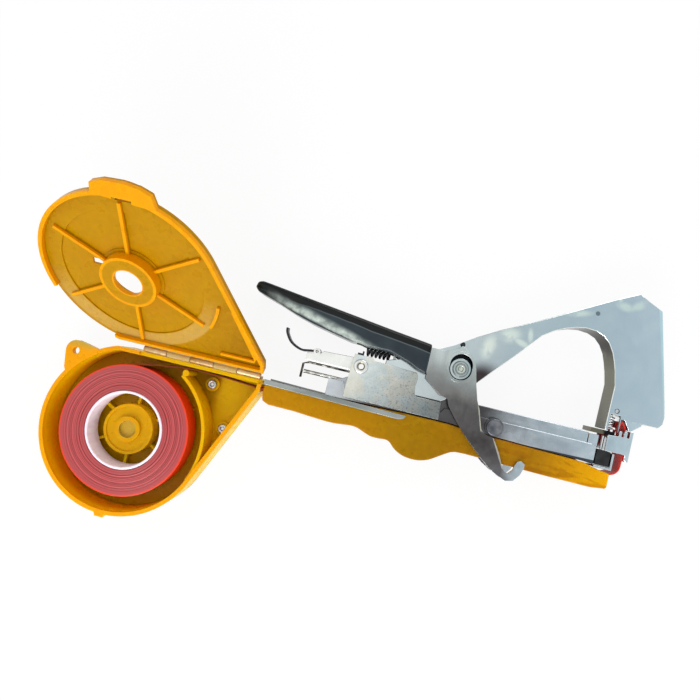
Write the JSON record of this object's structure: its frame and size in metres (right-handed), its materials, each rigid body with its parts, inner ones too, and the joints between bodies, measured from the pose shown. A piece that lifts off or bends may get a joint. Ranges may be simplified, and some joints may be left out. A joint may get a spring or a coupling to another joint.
{
  "type": "vine tying pliers",
  "caption": "Hand tool that ties a vine to its wire: a translucent tape case with a hinged lid, a guide grip, a sleeved lever and a hollow clincher arm over a stapling magazine.",
  "frame": {"origin": "hub of the tape case, on its flat back face", "axes": "+X from the tape case to the jaws, +Y from the grip to the arm, +Z out of the case towards its lid; the tool lies on its side"},
  "size_m": [0.297, 0.1675, 0.0819],
  "materials": {
    "amber_plastic": "translucent amber, moulded gloss",
    "red_tape": "soft red film",
    "core_board": "pale matt core",
    "zinc_steel": "mottled bright zinc plating",
    "chrome_steel": "polished nickel chrome",
    "plain_steel": "bright steel",
    "dark_steel": "dark oiled steel",
    "black_coated_steel": "black coating",
    "black_vinyl": "glossy dipped vinyl",
    "staple_wire": "coated wire"
  },
  "bodies": {
    "root": {"tape_case": "amber_plastic", "case_rivet_upper": "chrome_steel", "case_rivet_lower": "chrome_steel", "hinge_bar": "plain_steel", "lid_hinge_pin": "plain_steel", "tape_strip": "red_tape", "guide_grip": "amber_plastic", "side_rail_near": "plain_steel", "side_rail_far": "plain_steel", "base_channel": "zinc_steel", "rear_bracket": "zinc_steel", "arm_pivot_rivet": "zinc_steel", "magazine_pin": "plain_steel", "fulcrum_pin_near": "dark_steel", "fulcrum_pin_far": "dark_steel", "spring_seat": "dark_steel", "return_spring": "dark_steel", "driver_blade": "plain_steel", "latch_housing": "zinc_steel", "latch_pin": "plain_steel", "nose_block": "black_coated_steel", "nose_frame": "chrome_steel", "guide_post_near": "plain_steel", "guide_post_far": "plain_steel", "cutter_blade": "plain_steel"},
    "lid": {"case_lid": "amber_plastic"},
    "roll": {"tape_roll": "red_tape", "tape_core": "core_board"},
    "arm": {"clincher_arm": "chrome_steel", "lever_pin": "plain_steel", "lever_washer_near": "plain_steel", "lever_washer_far": "plain_steel", "arm_stop_pin": "dark_steel", "anvil_block": "black_coated_steel", "catch_pin": "plain_steel", "catch_spring": "plain_steel"},
    "lever": {"operating_lever": "plain_steel", "lever_sleeve": "black_vinyl"},
    "magazine": {"magazine_channel": "zinc_steel", "magazine_gate": "zinc_steel", "staple_stick": "staple_wire", "pusher_spring": "plain_steel"},
    "pusher": {"pusher_block": "plain_steel", "pusher_rod": "plain_steel", "pull_wire": "dark_steel"},
    "latch": {"thumb_leaf": "black_coated_steel"},
    "catch": {"tape_catch": "chrome_steel", "catch_block": "black_coated_steel", "tape_end": "red_tape"}
  },
  "joints": [
    {"name": "lid_hinge", "type": "hinge", "parent": "root", "child": "lid", "pos_m": [0.031, 0.042, 0.018], "axis": [1, 0, 0], "range_deg": [0, 134]},
    {"name": "roll_spin", "type": "hinge", "parent": "root", "child": "roll", "pos_m": [0, 0, 0.011], "axis": [0, 0, 1], "continuous": true},
    {"name": "arm_hinge", "type": "hinge", "parent": "root", "child": "arm", "pos_m": [0.1077, 0.0583, 0.011], "axis": [0, 0, 1], "range_deg": [0, 14]},
    {"name": "lever_hinge", "type": "hinge", "parent": "arm", "child": "lever", "pos_m": [0.1547, 0.0682, 0.011], "axis": [0, 0, 1], "range_deg": [-32.3, 0]},
    {"name": "magazine_hinge", "type": "hinge", "parent": "root", "child": "magazine", "pos_m": [0.0972, 0.0466, 0.011], "axis": [0, 0, 1], "range_deg": [0, 1.45]},
    {"name": "pusher_slide", "type": "slide", "parent": "magazine", "child": "pusher", "axis": [1, 0, 0], "range_m": [-0.014, 0], "stiffness_N_per_m": 60, "deforming": ["pusher_spring"]},
    {"name": "latch_hinge", "type": "hinge", "parent": "root", "child": "latch", "pos_m": [0.0847, 0.0605, 0.011], "axis": [0, 0, 1], "range_deg": [0, 8], "stiffness_Nm_per_rad": 0.02},
    {"name": "catch_hinge", "type": "hinge", "parent": "arm", "child": "catch", "pos_m": [0.2325, 0.066, 0.011], "axis": [0, 0, 1], "range_deg": [0, 5], "stiffness_Nm_per_rad": 0.03}
  ],
  "couplings": [
    {"joint": "lever_hinge", "follows": "arm_hinge", "ratio": -2.3},
    {"joint": "magazine_hinge", "follows": "arm_hinge", "ratio": 0.1}
  ]
}
